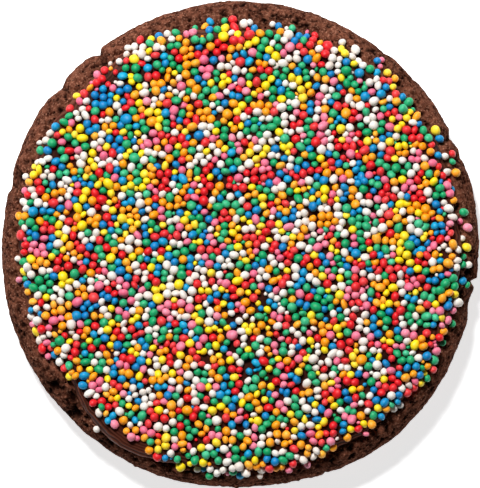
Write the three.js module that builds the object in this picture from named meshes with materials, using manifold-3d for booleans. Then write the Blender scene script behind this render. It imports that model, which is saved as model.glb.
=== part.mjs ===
// Sprinkle cookie: a round dark chocolate biscuit with a layer of chocolate icing that is
// covered in nonpareils, the small round sugar sprinkles.
//
// Millimetres, +Z up. The biscuit lies flat on its underside at z = 0, centred on the Z axis.
// +Y is the side that faces the top of the picture, angles run anticlockwise from +X.

import * as THREE from "three";
import { mergeVertices } from "three/addons/utils/BufferGeometryUtils.js";
import Module from "manifold-3d";

const wasm = await Module();
wasm.setup();

// ---------------------------------------------------------------- driving dimensions

const BISCUIT_RADIUS = 43.95; // mean radius at the widest line
const BISCUIT_THICKNESS = 9.0; // underside to the flat top
const ICING_RADIUS = 40.45; // mean radius of the icing at its widest
const ICING_THICKNESS = 2.0;
const ICING_GAP = 0.3; // air between the biscuit's top and the icing's underside
const ICING_MARGIN = 2.45; // least width of bare rim outside the icing
const FIELD_INSET = 0.35; // outermost sprinkle centres, in from the icing's edge

const SPRINKLE_LARGE = 2.0; // diameters of the largest and the smallest modelled sprinkle
const SPRINKLE_SMALL = 1.55;
const SPRINKLE_SIDES = 5;
const SPRINKLE_COUNT = 440; // even places for sprinkles on the icing
const SPRINKLE_JITTER = 0.55; // how far each is pushed off its even place
const SPRINKLE_ROOT = 0.25; // how deep a sprinkle's foot reaches into what it lies on

const BISCUIT_COLUMNS = 96; // points round the biscuit before those at the cracks
const ICING_COLUMNS = 60;

// The point that the edge is measured round, beside the middle of the whole width and depth.
const ROUND_CENTRE = { x: -0.085, y: -0.38 };

// The edge is no true circle. Each wave has so many lobes round the edge, a size in mm and a
// turn in degrees that says where its first lobe points.
const BISCUIT_WAVES = [
  { lobes: 2, size: 0.44, turn: 95 },
  { lobes: 3, size: 0.19, turn: -32 },
  { lobes: 4, size: 0.17, turn: 45 },
  { lobes: 5, size: 0.11, turn: 17 },
  { lobes: 6, size: 0.09, turn: 15 },
  { lobes: 7, size: 0.1, turn: -6 },
];

// Swells and hollows of the icing's edge: where, how far out or in, and how wide in degrees.
const ICING_SWELLS = [
  { at: 14, out: -1.0, width: 9 },
  { at: 82, out: -0.7, width: 16 },
  { at: 120, out: 0.5, width: 12 },
  { at: 190, out: -0.6, width: 14 },
  { at: 213, out: -1.2, width: 8 },
  { at: 239, out: 1.5, width: 11 },
  { at: 302, out: -0.5, width: 10 },
];

// Radial cracks in the rim: where, how deep, and how many degrees each side takes to recover.
const CRACKS = [
  { at: 27, depth: 0.7, before: 1.6, after: 1.8 },
  { at: 126.2, depth: 1.25, before: 1.2, after: 1.8 },
  { at: 138.3, depth: 0.85, before: 2.2, after: 4.5 },
  { at: 165.3, depth: 0.6, before: 4.0, after: 2.0 },
  { at: 346, depth: 0.55, before: 5.0, after: 6.0 },
  { at: 351.3, depth: 1.2, before: 1.6, after: 1.2 },
];

// Broken pits in the top of the rim: where, how far in from the edge, how deep and how wide.
const PITS = [
  { at: 163, inset: 1.6, depth: 0.9, width: 1.0 },
  { at: 217.7, inset: 2.0, depth: 1.0, width: 1.3 },
  { at: 226, inset: 1.9, depth: 1.1, width: 1.3 },
  { at: 236, inset: 1.4, depth: 0.6, width: 1.2 },
  { at: 46, inset: 2.2, depth: 0.5, width: 1.1 },
  { at: 53, inset: 2.0, depth: 0.6, width: 1.1 },
  { at: 76, inset: 2.0, depth: 0.6, width: 1.2 },
  { at: 82, inset: 1.6, depth: 0.5, width: 1.0 },
];

// The biscuit's side from the underside up: in from the widest line, and height as a share of
// the thickness. The last point ends the shoulder, where the flat top begins.
const BISCUIT_PROFILE = [
  { inset: 2.3, rise: 0 },
  { inset: 0.9, rise: 0.07 },
  { inset: 0.2, rise: 0.22 },
  { inset: 0.0, rise: 0.44 },
  { inset: 0.2, rise: 0.66 },
  { inset: 0.85, rise: 0.84 },
  { inset: 1.7, rise: 0.95 },
  { inset: 2.4, rise: 1.0 },
];

// The icing's side from its underside up: in from its widest line, and height as a share.
const ICING_PROFILE = [
  { inset: 0.25, rise: 0 },
  { inset: 0.0, rise: 0.3 },
  { inset: 0.35, rise: 0.72 },
  { inset: 1.3, rise: 1.0 },
];

// Sprinkles that lie apart on the bare rim.
const STRAYS = [
  { at: 4.4, inset: 1.75, size: 1.6 },
  { at: 8.5, inset: 2.1, size: 1.7 },
  { at: 18.6, inset: 2.0, size: 1.5 },
  { at: 53.2, inset: 1.9, size: 1.6 },
  { at: 61, inset: 2.2, size: 1.7 },
  { at: 231.9, inset: 1.75, size: 1.45 },
  { at: 286, inset: 2.1, size: 1.5 },
  { at: 330, inset: 2.1, size: 1.6 },
];

// Small heaps, where one sprinkle lies on top of three others.
const HEAPS = [
  { at: 132, out: 29 },
  { at: 50, out: 33 },
  { at: 95, out: 17 },
  { at: 20, out: 21 },
  { at: 200, out: 24 },
  { at: 262, out: 34 },
  { at: 310, out: 27 },
  { at: 285, out: 9 },
];

// ---------------------------------------------------------------- small helpers

const radians = THREE.MathUtils.degToRad;

/** Difference of two angles in degrees, from -180 to 180. */
function angleBetween(a, b) {
  return THREE.MathUtils.euclideanModulo(a - b + 180, 360) - 180;
}

/** Seeded random numbers from 0 to 1, the same on each run. */
function seededRandom(seed) {
  let state = seed;
  return () => {
    state = (state + 0x6d2b79f5) | 0;
    let mixed = Math.imul(state ^ (state >>> 15), 1 | state);
    mixed = (mixed + Math.imul(mixed ^ (mixed >>> 7), 61 | mixed)) ^ mixed;
    return ((mixed ^ (mixed >>> 14)) >>> 0) / 4294967296;
  };
}

/** A closed surface from rings of points between a pole below and a pole above. */
function polarShell(angles, rings, poleBelow, poleAbove) {
  const columns = angles.length;
  const positions = [...poleBelow, ...rings.flat(2), ...poleAbove];
  const top = 1 + rings.length * columns;
  const indices = [];
  for (let column = 0; column < columns; column += 1) {
    const next = (column + 1) % columns;
    indices.push(0, 1 + next, 1 + column);
    for (let ring = 0; ring + 1 < rings.length; ring += 1) {
      const low = 1 + ring * columns;
      const high = low + columns;
      indices.push(low + column, low + next, high + next);
      indices.push(low + column, high + next, high + column);
    }
    const last = top - columns;
    indices.push(last + column, last + next, top);
  }
  const geometry = new THREE.BufferGeometry();
  geometry.setAttribute("position", new THREE.Float32BufferAttribute(positions, 3));
  geometry.setIndex(indices);
  return geometry;
}

/** A closed geometry as a solid for joining. */
function toSolid(geometry) {
  const bare = geometry.clone();
  bare.deleteAttribute("normal");
  bare.deleteAttribute("uv");
  const merged = mergeVertices(bare, 1e-5);
  return new wasm.Manifold(
    new wasm.Mesh({
      numProp: 3,
      vertProperties: new Float32Array(merged.attributes.position.array),
      triVerts: new Uint32Array(merged.index.array),
    }),
  );
}

/** A joined solid as a geometry with flat facets. */
function toGeometry(solid) {
  const mesh = solid.getMesh();
  const geometry = new THREE.BufferGeometry();
  geometry.setAttribute("position", new THREE.Float32BufferAttribute(mesh.vertProperties, 3));
  geometry.setIndex(Array.from(mesh.triVerts));
  return geometry;
}

// ---------------------------------------------------------------- outlines and relief

/** How far a crack draws the rim in at an angle in degrees. */
function crackDepth(angle) {
  return Math.max(
    ...CRACKS.map(({ at, depth, before, after }) => {
      const away = angleBetween(angle, at);
      return depth * Math.max(0, 1 - Math.abs(away) / (away < 0 ? before : after));
    }),
  );
}

/** Radius of the biscuit's widest line, without its cracks. */
function biscuitOutline(angle) {
  return BISCUIT_WAVES.reduce(
    (radius, { lobes, size, turn }) => radius + size * Math.cos(lobes * radians(angle - turn)),
    BISCUIT_RADIUS,
  );
}

/** Radius of the icing's widest line: its swells, held back from the biscuit's shoulder. */
function icingOutline(angle) {
  const free = ICING_SWELLS.reduce(
    (radius, { at, out, width }) =>
      radius + out * Math.exp(-((angleBetween(angle, at) / width) ** 2)),
    ICING_RADIUS,
  );
  return Math.min(free, biscuitOutline(angle) - crackDepth(angle) - ICING_MARGIN);
}

/** How deep the rim's pits are at a place on it. */
function pitDepth(angle, inset) {
  return PITS.reduce((depth, pit) => {
    const along = radians(angleBetween(angle, pit.at)) * BISCUIT_RADIUS;
    const away = Math.hypot(along, inset - pit.inset);
    return Math.max(depth, pit.depth * Math.exp(-((away / pit.width) ** 2)));
  }, 0);
}

/** Height of the biscuit's top and shoulder at an inset from its edge. */
function shoulderHeight(inset) {
  const upper = BISCUIT_PROFILE.slice(3);
  const next = upper.findIndex((point) => point.inset >= inset);
  if (next < 1) {
    return BISCUIT_THICKNESS;
  }
  const [low, high] = [upper[next - 1], upper[next]];
  const share = (inset - low.inset) / (high.inset - low.inset);
  return BISCUIT_THICKNESS * THREE.MathUtils.lerp(low.rise, high.rise, share);
}

// ---------------------------------------------------------------- sprinkles

/**
 * A sprinkle sunk to its waist: a faceted dome with its foot below the surface. The foot
 * widens on the same slope, so that each side is one flat face down to where it is joined.
 */
function sprinkleGeometry(size, turn, root = SPRINKLE_ROOT) {
  const waist = { radius: 0.5 * size, height: 0 };
  const crown = { radius: 0.36 * size, height: 0.42 * size };
  const tip = 0.62 * size;
  const slope = (crown.radius - waist.radius) / (crown.height - waist.height);
  const foot = { radius: waist.radius - root * slope, height: -root };
  const angles = Array.from({ length: SPRINKLE_SIDES }, (_, side) => turn + (side * 360) / SPRINKLE_SIDES);
  const rings = [foot, crown].map(({ radius, height }) =>
    angles.map((angle) => [
      radius * Math.cos(radians(angle)),
      radius * Math.sin(radians(angle)),
      height,
    ]),
  );
  return polarShell(angles, rings, [0, 0, -root], [0, 0, tip]);
}

/** A sprinkle as a solid in its place. */
function sprinkleSolid({ x, y, z, size, turn }) {
  return toSolid(sprinkleGeometry(size, turn).translate(x, y, z));
}

/** One sprinkle on top of three: three domes in a ring and a rounded stone above them. */
function heapSolids({ at, out }, surface) {
  const centre = [out * Math.cos(radians(at)), out * Math.sin(radians(at))];
  const below = [0, 1, 2].map((step) => {
    const angle = radians(at + step * 120);
    return sprinkleSolid({
      x: centre[0] + 0.88 * Math.cos(angle),
      y: centre[1] + 0.88 * Math.sin(angle),
      z: surface,
      size: 1.62,
      turn: at + step * 31,
    });
  });
  const stone = new THREE.IcosahedronGeometry(0.82, 0);
  stone.rotateZ(radians(at)).translate(centre[0], centre[1], surface + 1.08);
  return [...below, toSolid(stone)];
}

/** Even places on the icing by the golden angle, pushed about a little, largest first. */
function scatterSprinkles(random) {
  const golden = 180 * (3 - Math.sqrt(5));
  const places = [];
  for (let index = 0; index < SPRINKLE_COUNT; index += 1) {
    const angle = index * golden;
    const share = Math.sqrt((index + 0.5) / SPRINKLE_COUNT);
    const reach = icingOutline(angle) - FIELD_INSET;
    const outermost = share > 0.96;
    const push = outermost ? 0.25 : SPRINKLE_JITTER;
    const x = share * reach * Math.cos(radians(angle)) + push * (2 * random() - 1);
    const y = share * reach * Math.sin(radians(angle)) + push * (2 * random() - 1);
    const size = THREE.MathUtils.lerp(SPRINKLE_LARGE, SPRINKLE_SMALL, random());
    places.push({ x, y, size, turn: 72 * random() });
  }
  const clearOfHeaps = ({ x, y }) =>
    HEAPS.every(({ at, out }) => {
      const away = Math.hypot(x - out * Math.cos(radians(at)), y - out * Math.sin(radians(at)));
      return away > 2.9;
    });
  return places.filter(clearOfHeaps);
}

// ---------------------------------------------------------------- the two layers

const ICING_UNDERSIDE = BISCUIT_THICKNESS + ICING_GAP;
const ICING_TOP = ICING_UNDERSIDE + ICING_THICKNESS;

/** Angles round the biscuit: even ones, and finer ones at each crack and pit. */
function biscuitAngles() {
  const even = Array.from({ length: BISCUIT_COLUMNS }, (_, step) => (step * 360) / BISCUIT_COLUMNS);
  const fine = [
    ...CRACKS.flatMap(({ at, before, after }) => [at - before, at - before / 2, at, at + after / 2, at + after]),
    ...PITS.map(({ at }) => at),
  ].map((angle) => THREE.MathUtils.euclideanModulo(angle, 360));
  const spaced = even.filter((angle) => fine.every((other) => Math.abs(angleBetween(angle, other)) > 0.9));
  const kept = fine.filter((angle, index) =>
    fine.slice(0, index).every((other) => Math.abs(angleBetween(angle, other)) > 0.35),
  );
  return [...spaced, ...kept].sort((a, b) => a - b);
}

/** The biscuit: flat below, a rounded side with cracks, pits and crumb, and a flat top. */
function buildBiscuit(random) {
  const angles = biscuitAngles();
  const rings = BISCUIT_PROFILE.map(({ inset, rise }) =>
    angles.map((angle) => {
      const crumb = rise > 0 && rise < 1 ? 0.12 * (random() - 0.5) : 0;
      const radius = biscuitOutline(angle) - crackDepth(angle) - inset + crumb;
      const pit = rise > 0.8 ? pitDepth(angle, inset) : 0;
      const height = BISCUIT_THICKNESS * rise + crumb - pit;
      return [radius * Math.cos(radians(angle)), radius * Math.sin(radians(angle)), height];
    }),
  );
  const body = toSolid(polarShell(angles, rings, [0, 0, 0], [0, 0, BISCUIT_THICKNESS]));
  const strays = STRAYS.map(({ at, inset, size }) => {
    const radius = biscuitOutline(at) - inset;
    return sprinkleSolid({
      x: radius * Math.cos(radians(at)),
      y: radius * Math.sin(radians(at)),
      z: shoulderHeight(inset) - 0.1,
      size,
      turn: 72 * random(),
    });
  });
  return toGeometry(wasm.Manifold.union([body, ...strays]));
}

/** The icing, with the sprinkles that it holds joined to it. */
function buildIcing(random) {
  const angles = Array.from({ length: ICING_COLUMNS }, (_, step) => (step * 360) / ICING_COLUMNS);
  const rings = ICING_PROFILE.map(({ inset, rise }) =>
    angles.map((angle) => {
      const radius = icingOutline(angle) - inset;
      const height = ICING_UNDERSIDE + rise * ICING_THICKNESS;
      return [radius * Math.cos(radians(angle)), radius * Math.sin(radians(angle)), height];
    }),
  );
  const layer = toSolid(polarShell(angles, rings, [0, 0, ICING_UNDERSIDE], [0, 0, ICING_TOP]));
  const sprinkles = scatterSprinkles(random).map((place) => {
    const angle = THREE.MathUtils.radToDeg(Math.atan2(place.y, place.x));
    const edge = icingOutline(angle) - Math.hypot(place.x, place.y);
    const droop = 0.55 * THREE.MathUtils.clamp(1 - edge / 1.3, 0, 1);
    return sprinkleSolid({ ...place, z: ICING_TOP - droop });
  });
  const heaps = HEAPS.flatMap((heap) => heapSolids(heap, ICING_TOP));
  return toGeometry(wasm.Manifold.union([layer, ...sprinkles, ...heaps]));
}

/** A named mesh with its own material, set so that the whole cookie is centred. */
function namedMesh(name, geometry, look) {
  const mesh = new THREE.Mesh(geometry, new THREE.MeshStandardMaterial(look));
  mesh.name = name;
  mesh.position.set(ROUND_CENTRE.x, ROUND_CENTRE.y, 0);
  return mesh;
}

const biscuit = namedMesh("biscuit", buildBiscuit(seededRandom(29)), {
  color: 0x563a30,
  roughness: 0.9,
  metalness: 0,
});

const icing = namedMesh("icing", buildIcing(seededRandom(31)), {
  color: 0x2f1a14,
  roughness: 0.45,
  metalness: 0,
});

const cookie = new THREE.Group();
cookie.add(biscuit, icing);

export default cookie;
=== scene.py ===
"""A sprinkle cookie, looked at from straight above.

A round dark chocolate biscuit carries a layer of set chocolate icing, and the icing is
covered all over in nonpareils, the small round sugar sprinkles. Lengths are millimetres
and angles are degrees anticlockwise from +X, until a mesh or a light is stored in metres.
"""

import itertools
import logging
import math
from collections.abc import Callable
from dataclasses import dataclass, field
from enum import Enum
from typing import TypeVar

import bpy
import numpy as np
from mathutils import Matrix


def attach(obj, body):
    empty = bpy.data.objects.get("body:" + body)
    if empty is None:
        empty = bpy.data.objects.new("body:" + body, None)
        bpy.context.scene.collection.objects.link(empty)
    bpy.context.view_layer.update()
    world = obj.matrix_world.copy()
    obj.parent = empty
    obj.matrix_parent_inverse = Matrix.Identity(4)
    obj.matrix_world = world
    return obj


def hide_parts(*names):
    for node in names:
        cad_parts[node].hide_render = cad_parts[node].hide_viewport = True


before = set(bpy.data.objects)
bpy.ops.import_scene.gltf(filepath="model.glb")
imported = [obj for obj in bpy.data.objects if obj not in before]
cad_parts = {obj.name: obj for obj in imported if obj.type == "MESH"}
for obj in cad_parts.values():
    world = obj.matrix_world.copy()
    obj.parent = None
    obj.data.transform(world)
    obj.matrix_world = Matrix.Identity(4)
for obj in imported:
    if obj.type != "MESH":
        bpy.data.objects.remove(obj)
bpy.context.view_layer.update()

LOG = logging.getLogger("cookie")

MM = 0.001
PHOTO_WIDTH = 480
PHOTO_HEIGHT = 488
MM_PER_PIXEL = 0.1822
ORIGIN_PIXEL = np.array([240.47, 243.9])  # where the photograph shows the frame's origin
ROUND_CENTRE = np.array([-0.085, -0.38])  # the point that the edges are measured round
BODY = "root"
LOOP_RADIUS = 40.0  # of the circle on which an edge's noise is read
GOLDEN_ANGLE = 137.508  # degrees
TINY = 1e-9
CORNER_ROUNDS = 3  # of cutting that round the corners of a side

Array = np.ndarray
Piece = bpy.types.Object
Material = bpy.types.Material
Node = bpy.types.Node
Socket = bpy.types.NodeSocket
Inputs = dict[str, object]  # for each socket of a node, a value or the output that feeds it
Layers = tuple[tuple[Socket, str], ...]  # for each colour its share, and its hex value
Row = TypeVar("Row")


def rows_of(kind: Callable[..., Row], *rows: tuple) -> tuple[Row, ...]:
    """One object of a kind for each row of its fields."""
    return tuple(kind(*row) for row in rows)


# ---- noise

CELL_PRIMES = (73856093, 19349663, 83492791)
SEED_PRIME = 2654435761
MIXING = ((15, 0x2C1B3C6D), (12, 0x297A2D39))  # shift and odd factor of each round
LAST_SHIFT = 15
WORD = 0xFFFFFFFF  # the largest hash, and the mask that keeps to it


def hashed(cells: Array, seed: int) -> Array:
    """A random value from 0 to 1 for each whole-numbered cell: its three numbers, each times a
    large prime, are mixed bit by bit.

    Args:
        cells: whole numbers, shape (..., 3).
        seed: a different seed gives other values.

    Returns:
        Values of shape (...).
    """
    parts = cells.astype(np.int64) * CELL_PRIMES
    state = (parts[..., 0] ^ parts[..., 1] ^ parts[..., 2] ^ (seed * SEED_PRIME)) & WORD
    for shift, factor in MIXING:
        state = ((state ^ (state >> shift)) * factor) & WORD
    return (state ^ (state >> LAST_SHIFT)) / WORD


def smooth_noise(points: Array, size: float, seed: int) -> Array:
    """Noise from -1 to 1: random values at the corners of cubes, blended by a smooth step.

    Args:
        points: places, shape (n, 3).
        size: the side of a cube, about the width of a lump.
        seed: the draw.

    Returns:
        One value for each point.
    """
    scaled = points / size
    base = np.floor(scaled)
    share = scaled - base
    share = share * share * (3 - 2 * share)
    total = np.zeros(len(points))
    for corner in itertools.product((0, 1), repeat=3):
        offset = np.array(corner)
        weight = np.prod(np.where(offset == 1, share, 1 - share), axis=1)
        total += weight * hashed(base + offset, seed)
    return 2 * total - 1


@dataclass(frozen=True)
class Noise:
    """Noise in layers, each half as wide and half as strong as the one before: the width of
    the widest lumps in millimetres, how many layers, and the draw of the first."""

    size: float
    layers: int
    seed: int

    def at(self, points: Array) -> Array:
        """Adds up the layers.

        Args:
            points: places, shape (n, 3).

        Returns:
            One value for each point, mostly from -1 to 1.
        """
        total = np.zeros(len(points))
        for layer in range(self.layers):
            total += smooth_noise(points, self.size / 2**layer, self.seed + layer) / 2**layer
        return total


@dataclass(frozen=True)
class Bowls:
    """Round bowls strewn through space, one at a random place in each cube of a grid: the
    cube's side, the smallest and the largest radius, and the draw."""

    spacing: float
    widths: tuple[float, float]
    seed: int

    def at(self, points: Array) -> Array:
        """Depth in the deepest bowl: one less the square of the distance over its radius.

        Args:
            points: places, shape (n, 3).

        Returns:
            The depth at each point, from 0 outside all bowls to 1 at the middle of one.
        """
        base = np.floor(points / self.spacing)
        least, most = self.widths
        deepest = np.zeros(len(points))
        for neighbour in itertools.product((-1, 0, 1), repeat=3):
            cell = base + np.array(neighbour)
            within = np.stack([hashed(cell, self.seed + axis) for axis in range(3)], axis=1)
            radius = least + (most - least) * hashed(cell, self.seed + 3)
            away = np.sum((points - (cell + within) * self.spacing) ** 2, axis=1)
            deepest = np.maximum(deepest, 1 - away / radius**2)
        return deepest


# ---- edges


def between(degrees: Array, other: float) -> Array:
    """Difference of angles in degrees, from -180 to 180."""
    return (degrees - other + 180) % 360 - 180


@dataclass(frozen=True)
class Wave:
    """A wave round an edge: how many lobes, how far out they stand, and where one points."""

    lobes: int
    size: float
    turn: float


@dataclass(frozen=True)
class Swell:
    """A local swell of an edge, or a hollow where the size is negative."""

    at: float
    size: float
    width: float


@dataclass(frozen=True)
class Crack:
    """A radial crack in the rim, with the degrees that each of its sides takes to recover, and
    how each side is bent: 1 is straight, and more is a rounder lobe."""

    at: float
    depth: float
    before: float
    after: float
    bend_before: float = 1.0
    bend_after: float = 1.0


@dataclass(frozen=True)
class Pit:
    """A broken pit in the top of the rim: where, how far in from the edge, how deep and wide."""

    at: float
    inset: float
    depth: float
    width: float


@dataclass(frozen=True)
class Gash:
    """A crevice or a hole in the rim's top, between two pixels of the photograph, with its
    depth and half its width in millimetres."""

    start: tuple[float, float]
    end: tuple[float, float]
    depth: float
    width: float


@dataclass(frozen=True)
class Edge:
    """An uneven round edge: a mean radius, waves all round, and local swells."""

    radius: float
    waves: tuple[Wave, ...] = ()
    swells: tuple[Swell, ...] = ()

    def reach(self, degrees: Array) -> Array:
        """Adds to the mean a cosine for each wave and a bell for each swell.

        Args:
            degrees: the angles.

        Returns:
            The radius at each.
        """
        total = np.full(np.shape(degrees), self.radius, float)
        for wave in self.waves:
            total = total + wave.size * np.cos(np.radians(wave.lobes * (degrees - wave.turn)))
        for swell in self.swells:
            total = total + swell.size * np.exp(-((between(degrees, swell.at) / swell.width) ** 2))
        return total


BISCUIT_EDGE = Edge(
    radius=43.95,
    waves=rows_of(
        Wave,
        (2, 0.44, 95), (3, 0.19, -32), (4, 0.17, 45), (5, 0.11, 17), (6, 0.09, 15), (7, 0.10, -6),
    ),
    # crumbs that stick out of the lower edge
    swells=rows_of(Swell, (244.6, 0.22, 0.3), (269.2, 0.20, 0.4), (284.0, 0.25, 0.35)),
)

ICING_EDGE = Edge(
    radius=40.45,
    swells=rows_of(
        Swell,
        (14, -1.0, 9), (82, -0.7, 16), (120, 0.5, 12), (190, -0.6, 14), (213, -1.2, 8),
        (219.5, -0.8, 2.2), (240, 2.2, 11), (268, 0.6, 18), (300, 0.35, 14),
    ),
)

FIELD_EDGE = Edge(
    radius=40.3,
    swells=rows_of(
        Swell,
        (2, -1.0, 12), (24, -0.7, 8), (39, -0.5, 6), (64, -0.7, 8), (82, -0.9, 7), (84, -0.9, 3),
        (88.5, 0.9, 2.5), (94, 1.1, 6), (118, 1.7, 6), (144.5, -1.8, 2.2), (163, -0.6, 6),
        (188, -0.9, 12), (204, 0.9, 4), (220.5, -2.2, 7.0), (233, -0.6, 5), (243, -1.1, 4),
        (264, 1.7, 15), (287, 1.3, 9), (302, -1.0, 4), (315, 0.7, 4), (325.5, 1.4, 4.5),
        (342, 0.7, 7),
    ),
)

CRACKS = rows_of(
    Crack,
    (21.7, 0.35, 1.3, 1.6, 1.5, 1.5),
    (27, 0.8, 2.4, 2.4, 1.8, 1.0),
    (126.2, 1.25, 1.3, 3.6, 1.1, 1.9),
    (138.3, 0.85, 2.2, 4.5),
    (165.3, 0.6, 4.0, 2.0),
    (346, 0.55, 5.0, 6.0),
    (351.3, 1.2, 1.6, 1.2),
)

PITS = rows_of(
    Pit,
    (162.3, 1.2, 1.2, 0.9), (217, 1.4, 1.2, 1.1), (225.3, 1.3, 1.3, 1.2), (222, 3.4, 0.9, 1.0),
    (353.3, 1.3, 1.3, 0.9), (236, 1.4, 0.6, 1.2), (46, 2.2, 0.5, 1.1), (53, 2.0, 0.6, 1.1),
)

GASHES = rows_of(
    Gash,
    # the torn patch at the top
    ((259.6, 9.8), (261.2, 8.2), 0.75, 0.20), ((261.2, 8.2), (264.0, 9.8), 0.60, 0.18),
    ((265.5, 8.4), (268.4, 10.4), 0.60, 0.20), ((264.0, 20.8), (264.2, 22.0), 0.90, 0.20),
    ((272.2, 15.6), (278.4, 15.0), 0.75, 0.17), ((276.6, 18.6), (281.0, 20.4), 0.65, 0.20),
    ((281.9, 16.6), (285.6, 18.0), 0.75, 0.16), ((285.6, 18.0), (292.0, 16.2), 0.65, 0.14),
    ((293.5, 22.6), (299.0, 24.6), 0.55, 0.22), ((299.5, 27.8), (308.0, 24.2), 0.50, 0.26),
    # single holes left of it
    ((241.6, 4.8), (243.0, 4.9), 0.50, 0.22), ((221.6, 11.8), (221.9, 12.6), 0.75, 0.26),
    ((211.2, 9.4), (211.9, 9.9), 0.55, 0.20), ((188.9, 19.6), (189.0, 20.8), 0.75, 0.24),
    ((177.6, 22.0), (178.6, 23.4), 0.60, 0.26), ((172.0, 19.6), (172.8, 20.0), 0.50, 0.20),
    ((158.3, 24.0), (159.8, 24.2), 0.60, 0.24),
)


def crack_depth(degrees: Array) -> Array:
    """How far the cracks draw the rim in: each is a wedge that shallows to both sides, by the
    share of the side that is left, to the power of its bend.

    Args:
        degrees: the angles.

    Returns:
        The depth at each.
    """
    deepest = np.zeros(np.shape(degrees))
    for crack in CRACKS:
        away = between(degrees, crack.at)
        left = np.clip(1 - np.abs(away) / np.where(away < 0, crack.before, crack.after), 0, 1)
        bend = np.where(away < 0, crack.bend_before, crack.bend_after)
        deepest = np.maximum(deepest, crack.depth * left**bend)
    return deepest


def from_pixels(pixels: Array) -> Array:
    """Places in the plane, in millimetres, of pixels of the photograph, shape (n, 2)."""
    return (pixels - ORIGIN_PIXEL) * MM_PER_PIXEL * (1, -1)


def polar(flat: Array) -> tuple[Array, Array]:
    """Angle in degrees and radius of each place about the round centre.

    Args:
        flat: places in the plane, shape (n, 2).

    Returns:
        The angles and the radii.
    """
    away = flat - ROUND_CENTRE
    return np.degrees(np.arctan2(away[:, 1], away[:, 0])), np.hypot(away[:, 0], away[:, 1])


# ---- meshes


def store_mesh(name: str, points: Array, faces: list[Array]) -> Piece:
    """A smooth-shaded object at the origin from whole arrays.

    Args:
        name: the piece's name.
        points: places in millimetres, shape (n, 3).
        faces: arrays of corner numbers, one array for each number of sides.

    Returns:
        The new object, linked to the scene.
    """
    sides = np.concatenate([np.full(len(group), group.shape[1]) for group in faces])
    starts = np.concatenate([[0], np.cumsum(sides)[:-1]])
    corners = np.concatenate([group.ravel() for group in faces])
    mesh = bpy.data.meshes.new(name)
    mesh.vertices.add(len(points))
    mesh.vertices.foreach_set("co", (points * MM).astype(np.float32).ravel())
    mesh.loops.add(len(corners))
    mesh.loops.foreach_set("vertex_index", corners.astype(np.int32))
    mesh.polygons.add(len(sides))
    mesh.polygons.foreach_set("loop_start", starts.astype(np.int32))
    mesh.polygons.foreach_set("use_smooth", np.ones(len(sides), bool))
    mesh.update(calc_edges=True)
    mesh.validate()
    piece = bpy.data.objects.new(name, mesh)
    bpy.context.scene.collection.objects.link(piece)
    return piece


def store_attribute(piece: Piece, name: str, values: Array) -> None:
    """Keeps one number for each point of a piece, under a name that its material reads."""
    attribute = piece.data.attributes.new(name, "FLOAT", "POINT")
    attribute.data.foreach_set("value", values.astype(np.float32))


def polar_faces(rows: int, columns: int) -> list[Array]:
    """Faces of a closed shell whose points are a pole, rows of a ring each, and a second pole.

    Args:
        rows: how many rings.
        columns: points in each ring.

    Returns:
        The triangles round the two poles and the squares between the rings, facing out.
    """
    column = np.arange(columns)
    following = (column + 1) % columns
    last = 1 + (rows - 1) * columns
    below = np.stack([np.zeros(columns, int), 1 + following, 1 + column], axis=1)
    above = np.stack([last + column, last + following, np.full(columns, last + columns)], axis=1)
    low = (1 + np.arange(rows - 1) * columns)[:, None]
    squares = np.stack(
        [low + column, low + following, low + columns + following, low + columns + column], axis=2
    )
    return [np.concatenate([below, above]), squares.reshape(-1, 4)]


def rounded(points: Array, rounds: int) -> Array:
    """An open line with its corners cut: each round puts two points on each stretch, a quarter
    of the way in from either end, and keeps the line's own ends.

    Args:
        points: the line's corners, shape (n, 2).
        rounds: how many times.

    Returns:
        The new points.
    """
    for _ in range(rounds):
        near = 0.75 * points[:-1] + 0.25 * points[1:]
        far = 0.25 * points[:-1] + 0.75 * points[1:]
        cut = np.stack([near, far], axis=1).reshape(-1, points.shape[1])
        points = np.concatenate([points[:1], cut, points[-1:]])
    return points


def stepped(points: Array, spacing: float) -> Array:
    """A line's points at even steps along its length.

    Args:
        points: the line's corners, shape (n, 2).
        spacing: the length of a step, met as nearly as a whole number of steps allows.

    Returns:
        The new points, first and last included.
    """
    run = np.concatenate([[0], np.cumsum(np.linalg.norm(np.diff(points, axis=0), axis=1))])
    places = np.linspace(0, run[-1], max(2, round(run[-1] / spacing) + 1))
    return np.stack([np.interp(places, run, points[:, axis]) for axis in range(2)], axis=1)


def loop_points(degrees: Array) -> Array:
    """Points of a circle at the given angles, on which noise closes up round an edge."""
    turn = np.radians(degrees)
    return LOOP_RADIUS * np.stack([np.cos(turn), np.sin(turn), np.zeros_like(turn)], axis=1)


def ring_normals(grid: Array) -> Array:
    """Outward normals of a ring grid: the cross product of its steps round and its steps up.

    Args:
        grid: points, shape (rows, columns, 3), columns running round.

    Returns:
        Unit vectors of the same shape.
    """
    round_step = np.roll(grid, -1, axis=1) - np.roll(grid, 1, axis=1)
    up_step = np.gradient(grid, axis=0)
    normal = np.cross(round_step, up_step)
    return normal / np.maximum(np.linalg.norm(normal, axis=2, keepdims=True), TINY)


# ---- materials


def linear(hex_colour: str) -> tuple[float, float, float, float]:
    """An sRGB hex colour as linear light, with full alpha: a channel up to 0.04045 is divided
    by 12.92, and a brighter one is (channel + 0.055) / 1.055 to the power of 2.4.

    Args:
        hex_colour: such as "#724433".

    Returns:
        Red, green, blue and alpha.
    """
    parts = [int(hex_colour[start : start + 2], 16) / 255 for start in (1, 3, 5)]
    light = [part / 12.92 if part <= 0.04045 else ((part + 0.055) / 1.055) ** 2.4 for part in parts]
    return (*light, 1.0)


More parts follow.
